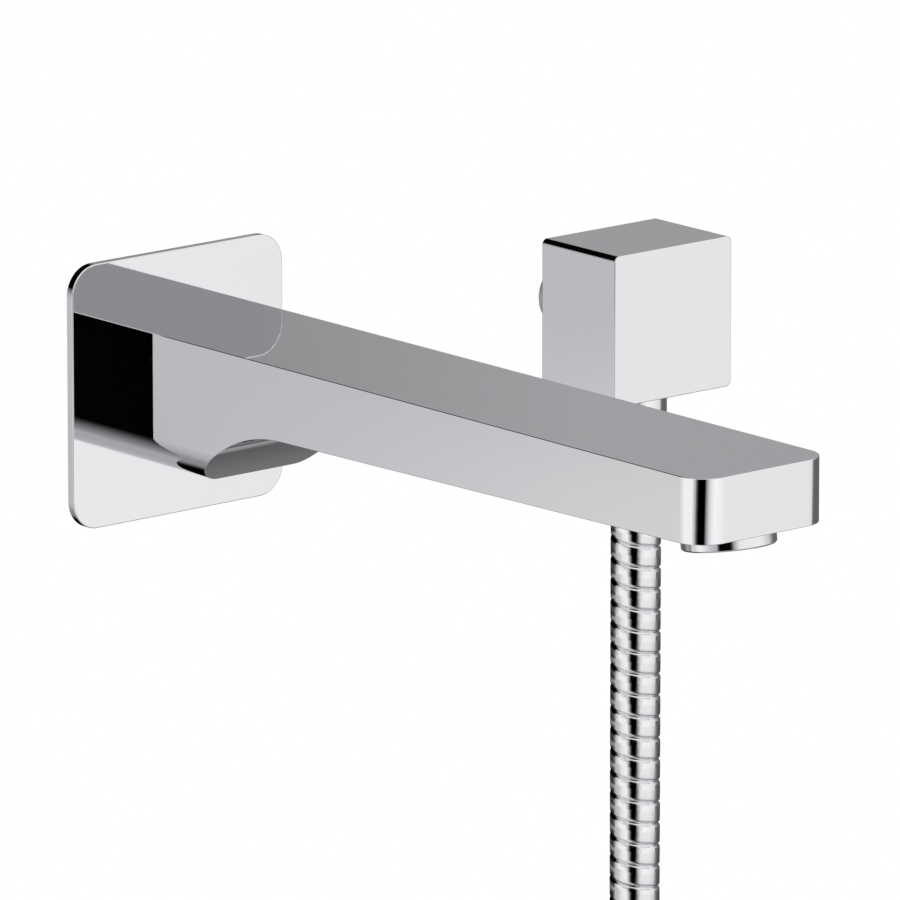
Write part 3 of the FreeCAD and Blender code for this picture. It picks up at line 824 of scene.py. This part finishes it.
@dataclass
class InletThread:
    """The G1/2 thread on the wall end of a connector: 14 turns to the inch."""

    dresser: Dresser
    winder: Winder
    crest_r: float = 0.0104775
    root_r: float = 0.00932
    pitch: float = 0.0254 / 14
    run_out: float = 0.0022
    steps_per_turn: int = 32
    root_corners: Pairs = ((-0.0002, 0.0001), (0.0, 0.00014), (0.00006, 0.0002))
    crest_corners: Pairs = ((0.0001, 0.0002), (0.00003, 0.00014), (0.0, 0.00005))
    end_slack: float = 0.0001
    crest_slack: float = 0.00005

    def ridge(self) -> list[tuple[float, float]]:
        """The thread's cross-section.

        Returns:
            Its corners: out from the root, and along the thread.
        """
        top, half = self.crest_r - self.root_r, self.pitch / 2
        side = [*((out, half - inset) for out, inset in self.root_corners),
                *((top - inset, along) for inset, along in self.crest_corners)]
        return [*((out, -along) for out, along in side), *reversed(side)]

    def build(self, node: str, low: float, slot: Slot) -> None:
        """Replaces a connector by a copy whose plain wall end is cut down to the root, with a wound thread.

        Args:
            node: The connector's node.
            low: Y of the thread's inner end; its outer end is the node's own.
            slot: The connector's finish.
        """
        start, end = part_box(node)
        axis = Vector(((start[0] + end[0]) / 2, 0, (start[2] + end[2]) / 2))
        body = self.dresser.copy_of(node)
        for vertex in body.vertices:
            spoke = Vector((vertex.co.x - axis.x, 0, vertex.co.z - axis.z))
            at_tip = vertex.co.y > end[1] - self.end_slack and spoke.length > self.root_r
            on_crest = spoke.length > self.crest_r - self.crest_slack and vertex.co.y > low - self.end_slack
            if at_tip or on_crest:
                spoke.length = self.root_r
                vertex.co = Vector((axis.x, vertex.co.y, axis.z)) + spoke
        core = self.dresser.finish_copy(node, body, slot, Body.WALL)
        inset = self.pitch / 2
        line = curve_of("thread_line", [(axis.x, low + inset, axis.z), (axis.x, end[1] - inset, axis.z)])
        thread = self.winder.wind(f"{node}_thread", line, self.ridge(), self.dresser.finishes[slot],
                                  radius=self.root_r, pitch=self.pitch, steps=self.steps_per_turn,
                                  fade=self.run_out, sink=self.crest_r - self.root_r)
        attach(thread, Body.WALL.value)
        log.info("%s: %d faces on %s", thread.name, len(thread.data.polygons), core.name)


@dataclass
class ValveSpring:
    """The round-wire spring of the check valve, which the poppet presses together."""

    finishes: Finishes
    winder: Winder
    node: str = "check_valve_spring"
    joint: str = "poppet_slide"
    wire_r: float = 0.0003
    wire_sides: int = 8
    turns: int = 4
    steps_per_turn: int = 24

    def build(self) -> bpy.types.Object:
        """Winds the spring in its node's place.

        Returns:
            The new piece.
        """
        low, high = (Vector(corner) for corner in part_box(self.node))
        middle = (low + high) / 2
        line = curve_of("spring_line", [(middle.x, middle.y, low.z + self.wire_r),
                                        (middle.x, middle.y, high.z - self.wire_r)])
        angles = (2 * math.pi * side / self.wire_sides for side in range(self.wire_sides))
        wire = [(self.wire_r * math.cos(angle), self.wire_r * math.sin(angle)) for angle in angles]
        spring = self.winder.wind("valve_spring", line, wire, self.finishes[Slot.STEEL],
                                  radius=(high.x - low.x) / 2 - self.wire_r,
                                  pitch=(high.z - low.z - 2 * self.wire_r) / self.turns,
                                  steps=self.steps_per_turn)
        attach(spring, Body.WALL.value)
        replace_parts(spring, self.node)
        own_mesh(spring)
        return spring


@dataclass
class GripRibs:
    """Fine ribs round the wide rim of the cone nut, to turn it by hand."""

    finishes: Finishes
    count: int = 44
    ring_steps_per_rib: int = 4
    proud: float = 0.00025
    rib_width: float = 0.0007
    rib_sides: int = 12
    margin: float = 0.0022
    rim_run: float = 0.012

    def tree(self) -> bpy.types.NodeTree:
        """Sets rounded bars in a ring about Z.

        Returns:
            The node group.
        """
        graph, given = geometry_tree("grip_ribs", {
            "Ring": "Geometry", "Count": "Int", "Rib Radius": "Float", "Rib Length": "Float",
            "Finish": "Material"}, "Ribs")
        spots = graph.out("GeometryNodeCurveToPoints", {"Curve": given["Ring"], "Count": given["Count"]},
                          mode="COUNT")
        bar = graph.out("GeometryNodeMeshCylinder", {
            "Vertices": self.rib_sides, "Radius": given["Rib Radius"], "Depth": given["Rib Length"]})
        bar = graph.out("GeometryNodeSetShadeSmooth", {"Geometry": bar})
        ribs = graph.out("GeometryNodeInstanceOnPoints", {"Points": spots, "Instance": bar})
        graph.finished(ribs, given["Finish"], "Ribs")
        return graph.tree

    def build(self, node: str, body: Body) -> bpy.types.Object:
        """Builds the ribs on a nut.

        Args:
            node: The nut's node, whose low end is its wide rim.
            body: The body that it turns with.

        Returns:
            The ring of ribs.
        """
        low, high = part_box(node)
        centre, rim_r = (low + high) / 2, (high.x - low.x) / 2
        rib_r = self.rib_width / 2
        ring_r = rim_r + self.proud - rib_r
        steps = self.ring_steps_per_rib * self.count
        angles = (2 * math.pi * step / steps for step in range(steps))
        height = low.z + self.rim_run / 2
        points = [(centre.x + ring_r * math.cos(angle), centre.y + ring_r * math.sin(angle), height)
                  for angle in angles]
        ring = curve_of("rib_ring", points, closed=True)
        ribs = grown(f"{node}_ribs", ring, self.tree(), {
            "Count": self.count, "Rib Radius": rib_r, "Rib Length": self.rim_run - 2 * self.margin,
            "Finish": self.finishes[Slot.CHROME]})
        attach(ribs, body.value)
        log.info("%s: %d ribs", ribs.name, self.count)
        return ribs


# -------------------------------- studio
@dataclass(frozen=True)
class LightRing:
    """Brightness of the room all the way round at one height, as polished metal mirrors it.

    The stops are pairs of azimuth, in degrees from +X towards +Y, and brightness as the eye reads it.
    """

    height: float
    stops: Pairs

    def glow(self, graph: Graph, round_about: Socket) -> Socket:
        """The ring's brightness in each direction.

        Args:
            graph: The world's graph.
            round_about: The azimuth as a share of a whole turn.

        Returns:
            The brightness.
        """
        node = graph.add("ShaderNodeValToRGB", {"Fac": round_about})
        ramp = node.color_ramp
        for azimuth, _ in self.stops[1:-1]:
            ramp.elements.new(azimuth / FULL_TURN)
        for element, (azimuth, tone) in zip(ramp.elements, self.stops):
            element.position = azimuth / FULL_TURN
            element.color = (tone, tone, tone, 1.0)
        return node.outputs["Color"]


@dataclass(frozen=True)
class Lamp:
    """A large soft lamp, which lights plastics and the floor but isn't mirrored."""

    name: str
    place: Point
    size: float
    power: float

    def build(self, aim: Point) -> None:
        """Hangs the lamp.

        Args:
            aim: What it points at.
        """
        data = bpy.data.lights.new(self.name, "AREA")
        data.shape = "SQUARE"
        data.size = self.size
        data.energy = self.power
        lamp = bpy.data.objects.new(self.name, data)
        lamp.location = self.place
        lamp.rotation_euler = facing(self.place, aim)
        lamp.visible_glossy = False
        bpy.context.scene.collection.objects.link(lamp)


def facing(place: Point, aim: Point) -> Euler:
    """The turn of a lamp or a camera that points at something."""
    return (Vector(aim) - Vector(place)).to_track_quat("-Z", "Y").to_euler()


# What rings at near heights share, from the wall's side round to the room's.
FROM_WALL_LEVEL = ((0, 0.38), (27, 0.42), (50, 0.24), (104, 0.28), (115, 0.42))
TO_ROOM_LEVEL = ((145, 0.91), (154, 0.98), (186, 0.97), (198, 0.66), (205, 0.24), (212, 0.01),
                 (231.6, 0.01), (233.2, 0.18), (238, 0.54), (247, 0.80), (256, 0.92), (270, 1.0),
                 (294, 0.97), (308.5, 0.945), (312, 0.925), (322, 0.90), (331, 0.84), (336, 0.52),
                 (341, 0.41), (360, 0.38))
TO_ROOM_LOW = ((153, 0.82), (164, 0.92), (190, 0.99), (197, 0.84), (203, 0.68), (208, 0.42), (213, 0.12),
               (218, 0.01), (229, 0.01), (236, 0.30), (244, 0.66), (253, 0.88), (258, 0.94), (300, 0.94),
               (320, 0.86), (330, 0.77), (336, 0.60), (342, 0.52), (350, 0.40), (360, 0.33))
TO_ROOM_HIGH = ((60, 0.02), (132, 0.02), (138, 0.60), (160, 0.95), (200, 0.80), (215, 0.20), (234, 0.22),
                (250, 0.80), (290, 0.80), (307, 0.58), (309.8, 0.565), (310.6, 0.90), (330, 0.90),
                (345, 0.62), (360, 0.45))
RINGS = (
    LightRing(-70, ((0, 0.62), (360, 0.62))),
    LightRing(-42, ((0, 0.39), (33, 0.385), (38.5, 0.36), (41, 0.57), (46, 0.57), (50, 0.30), (60, 0.02),
                    (86, 0.02), (93, 0.26), (99, 0.44), (105, 0.56), (114, 0.62), (127, 0.70), (135, 0.76),
                    (160, 0.90), (205, 0.85), (225, 0.40), (240, 0.38), (255, 0.66), (285, 0.68),
                    (305, 0.62), (335, 0.55), (360, 0.40))),
    LightRing(-20, ((0, 0.36), (36, 0.34), (39, 0.32), (41, 0.57), (46.5, 0.57), (48.5, 0.16), (60, 0.10),
                    (80, 0.08), (98, 0.10), (108, 0.24), (116, 0.44), (121, 0.64), (128, 0.72), (141, 0.76),
                    (153, 0.84), (164, 0.92), (190, 0.97), (197, 0.85), (203, 0.70), (208, 0.48),
                    (213, 0.20), (218, 0.08), (229, 0.08), (236, 0.34), (244, 0.64), (253, 0.86),
                    (258, 0.90), (300, 0.90), (320, 0.84), (336, 0.62), (350, 0.42), (360, 0.36))),
    LightRing(-16.6, ((0, 0.33), (50, 0.24), (90, 0.14), (108, 0.22), (118, 0.40), (123, 0.62), (127, 0.72),
                      (141, 0.76), *TO_ROOM_LOW)),
    LightRing(-15.4, ((0, 0.33), (50, 0.30), (60, 0.42), (73, 0.46), (97, 0.54), (127, 0.72), (141, 0.76),
                      *TO_ROOM_LOW)),
    LightRing(-14.15, ((0, 0.33), (50, 0.24), (90, 0.12), (108, 0.16), (118, 0.28), (124, 0.52),
                       (127, 0.72), (131, 0.74), (141, 0.78), *TO_ROOM_LOW)),
    LightRing(-13.85, (*FROM_WALL_LEVEL, (125, 0.60), (128.6, 0.733), (131.4, 0.860), *TO_ROOM_LEVEL)),
    LightRing(-12.75, (*FROM_WALL_LEVEL, (125, 0.62), (128, 0.75), (132, 0.75), *TO_ROOM_LEVEL)),
    LightRing(-6, ((0, 0.45), (50, 0.25), (60, 0.02), (122, 0.02), (129, 0.66), (150, 0.95), (200, 0.70),
                   (208, 0.02), (232, 0.02), (240, 0.60), (256, 0.94), (310, 0.96), (340, 0.80),
                   (360, 0.45))),
    LightRing(8, ((0, 0.45), (50, 0.40), (60, 0.02), (126, 0.02), (132, 0.60), (160, 0.95), (200, 0.75),
                  (212, 0.10), (233, 0.12), (245, 0.80), (256, 0.94), (320, 0.96), (345, 0.70),
                  (360, 0.45))),
    LightRing(12.3, ((0, 0.45), (47, 0.61), (49.5, 0.614), (51, 0.58), *TO_ROOM_HIGH)),
    LightRing(13.2, ((0, 0.45), (48.4, 0.636), (49.2, 0.636), (49.5, 0.63), (50, 0.608), (50.4, 0.586),
                     (51, 0.56), *TO_ROOM_HIGH)),
    LightRing(42, ((0, 0.98), (35, 0.95), (55, 0.05), (130, 0.02), (150, 0.8), (200, 0.95), (300, 0.95),
                   (360, 0.98))),
    LightRing(75, ((0, 0.85), (360, 0.85))))


@dataclass
class Studio:
    """Camera, lamps, surroundings, floor and wall."""

    camera_at: Point = (-2.1575, -2.6732, 0.8002)
    aim: Point = (0.05583, -0.055, -0.0190)
    lens_mm: float = 500.0
    sensor_mm: float = 36.0
    view_depth: float = 60.0
    lamps: tuple[Lamp, ...] = (Lamp("key", (-1.2, -1.8, 2.4), 1.6, 34.0),
                               Lamp("side", (2.2, -1.0, 1.6), 1.4, 14.0))
    lamp_aim: Point = (0.06, -0.1, -0.1)
    rings: tuple[LightRing, ...] = RINGS
    eye_power: float = 2.2
    fill: float = 0.75
    tint: Colour = (1.0, 0.988, 1.022)
    pale_tint: Colour = (0.99, 0.982, 0.99)
    neutral_from: tuple[float, float] = (0.76, 0.86)
    floor_z: float = -0.5
    floor_half: float = 14.0
    floor_tone: float = 0.8
    floor_lift: float = 0.32
    wall_y: float = 0.0002
    wall_reach: float = 0.9

    def camera(self) -> None:
        """Sets the long-lens camera."""
        data = bpy.data.cameras.new("camera")
        data.lens = self.lens_mm
        data.sensor_width = self.sensor_mm
        data.clip_end = self.view_depth
        camera = bpy.data.objects.new("camera", data)
        camera.location = self.camera_at
        camera.rotation_euler = facing(self.camera_at, self.aim)
        bpy.context.scene.collection.objects.link(camera)
        bpy.context.scene.camera = camera

    def surroundings(self) -> None:
        """A white room for the eye, soft panels for polished metal and an even fill for everything else."""
        world = bpy.data.worlds.new("studio")
        bpy.context.scene.world = world
        world.use_nodes = True
        world.node_tree.nodes.clear()
        graph = Graph(world.node_tree)
        way = graph.add("ShaderNodeTexCoord").outputs["Generated"]
        split = graph.add("ShaderNodeSeparateXYZ", {0: way}).outputs
        height = graph.math("DEGREES", graph.math("ARCSINE", split["Z"]))
        turn = graph.math("DIVIDE", graph.math("ARCTAN2", split["Y"], split["X"]), 2 * math.pi)
        turn = graph.math("FLOORED_MODULO", turn, 1.0)
        tone = self.rings[0].glow(graph, turn)
        for lower, upper in zip(self.rings, self.rings[1:]):
            share = graph.between(height, lower.height, upper.height)
            tone = graph.choose(share, tone, upper.glow(graph, turn))
        shine = graph.math("POWER", tone, self.eye_power)
        neutral = graph.between(tone, *self.neutral_from)
        tinted = graph.scaled(graph.choose(neutral, (*self.tint, 1.0), (*self.pale_tint, 1.0)), shine)
        rays = graph.add("ShaderNodeLightPath").outputs
        mirrored = graph.math("MAXIMUM", rays["Is Glossy Ray"], rays["Is Transmission Ray"])
        seen = graph.choose(mirrored, (self.fill, self.fill, self.fill, 1.0), tinted)
        seen = graph.choose(rays["Is Camera Ray"], seen, WHITE)
        light = graph.out("ShaderNodeBackground", {"Color": seen})
        graph.add("ShaderNodeOutputWorld", {"Surface": light})

    @staticmethod
    def sheet(name: str, corners: tuple[Point, ...], material: bpy.types.Material) -> None:
        """A flat stage sheet.

        Args:
            name: The sheet's name.
            corners: Its corners, counter-clockwise from the side that faces the object.
            material: Its finish.
        """
        mesh = bpy.data.meshes.new(name)
        mesh.from_pydata(corners, [], [tuple(range(len(corners)))])
        mesh.materials.append(material)
        add_object(name, mesh)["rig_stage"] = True

    def floor(self) -> None:
        """A pale floor that keeps the soft shadow of the set."""
        material, graph = empty_material("pale_floor")
        rays = graph.add("ShaderNodeLightPath").outputs
        tone = (self.floor_tone, self.floor_tone, self.floor_tone, 1.0)
        paper = graph.out("ShaderNodeBsdfDiffuse", {"Color": tone})
        lift = graph.out("ShaderNodeEmission", {"Color": WHITE, "Strength": self.floor_lift})
        seen = graph.out("ShaderNodeAddShader", {0: paper, 1: lift})
        seen = graph.out("ShaderNodeMixShader", {0: rays["Is Camera Ray"], 1: paper, 2: seen})
        clear = graph.out("ShaderNodeBsdfTransparent")
        mirrored = graph.math("MAXIMUM", rays["Is Glossy Ray"], rays["Is Transmission Ray"])
        seen = graph.out("ShaderNodeMixShader", {0: mirrored, 1: seen, 2: clear})
        graph.add("ShaderNodeOutputMaterial", {"Surface": seen})
        z, half = self.floor_z, self.floor_half
        corners = ((-half, -half, z), (half, -half, z), (half, half, z), (-half, half, z))
        self.sheet("floor", corners, material)

    def wall(self) -> None:
        """The white wall face, seen only from the room: it hides what is built into the wall."""
        material, graph = empty_material("white_wall")
        rays = graph.add("ShaderNodeLightPath").outputs
        back = graph.add("ShaderNodeNewGeometry").outputs["Backfacing"]
        seen = graph.math("MULTIPLY", rays["Is Camera Ray"], graph.math("SUBTRACT", 1.0, back))
        clear = graph.out("ShaderNodeBsdfTransparent")
        white = graph.out("ShaderNodeEmission", {"Color": WHITE, "Strength": 1.0})
        seen = graph.out("ShaderNodeMixShader", {0: seen, 1: clear, 2: white})
        graph.add("ShaderNodeOutputMaterial", {"Surface": seen})
        y, reach, low = self.wall_y, self.wall_reach, self.floor_z
        corners = ((-reach, y, low), (reach, y, low), (reach, y, reach), (-reach, y, reach))
        self.sheet("wall", corners, material)

    def build(self) -> None:
        """Sets up everything round the object."""
        self.camera()
        self.surroundings()
        for lamp in self.lamps:
            lamp.build(self.lamp_aim)
        self.floor()
        self.wall()
        bpy.context.scene.view_settings.view_transform = "Standard"


def main() -> None:
    """Builds the studio and the dressed object."""
    logging.basicConfig(level=logging.INFO, format="%(name)s: %(message)s")
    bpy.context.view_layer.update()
    Studio().build()
    finishes = Finishes.build()
    dresser = Dresser(finishes)
    winder = Winder.build()
    ShowerHose(dresser, winder).build()
    slots = {part["node"]: Slot(part["material_slot"]) for part in frame["record"]["subparts"]}
    thread = InletThread(dresser, winder)
    thread.build("spout_nipple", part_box("wall_plate")[0][1], slots["spout_nipple"])
    thread.build("outlet_shank", NECK_THREAD_FROM, Slot.SATIN)
    ValveSpring(finishes, winder).build()
    polished = {"spout_body": Body.WALL, "wall_plate": Body.WALL, "outlet_body": Body.WALL,
                "outlet_nipple": Body.WALL, "aerator_housing": Body.WALL,
                "hose_top_nut": Body.TOP_NUT, "hose_top_ferrule": Body.WALL}
    for node, body in polished.items():
        dresser.polish(node, Slot.CHROME, body)
    replaced = {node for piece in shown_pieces() for node in piece.get("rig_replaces", [])}
    for node in sorted(set(slots) - replaced):
        dresser.coat(node, slots[node])


if __name__ == "__main__":
    main()
